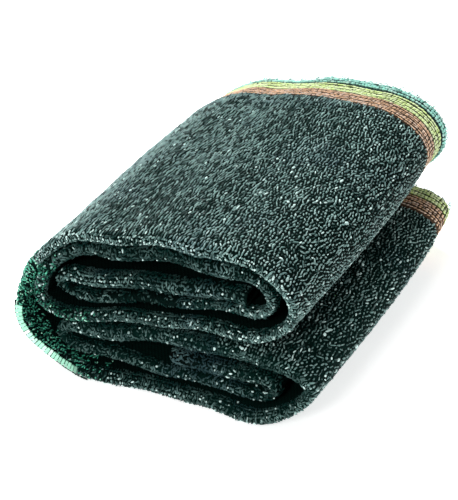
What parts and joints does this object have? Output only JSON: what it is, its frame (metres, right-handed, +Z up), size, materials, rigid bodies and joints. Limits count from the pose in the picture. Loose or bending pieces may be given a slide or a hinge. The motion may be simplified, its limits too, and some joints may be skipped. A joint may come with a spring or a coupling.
{
  "type": "shade cloth",
  "caption": "Knitted shade cloth folded into a soft layered bundle, with rounded lips at the near end and coloured selvedge rows at the far end.",
  "frame": {"origin": "centre of the bounding box's underside, on the surface that the bundle lies on", "axes": "+Z up through the stacked layers, +Y from the folded lips to the selvedges, +X from the rounded spine to the open side"},
  "size_m": [0.2084, 0.2792, 0.1165],
  "materials": {
    "knit": "satin knitted plastic tape, dark green, with coloured rows along the selvedges"
  },
  "bodies": {
    "root": {"shade_cloth": "knit"}
  },
  "joints": []
}
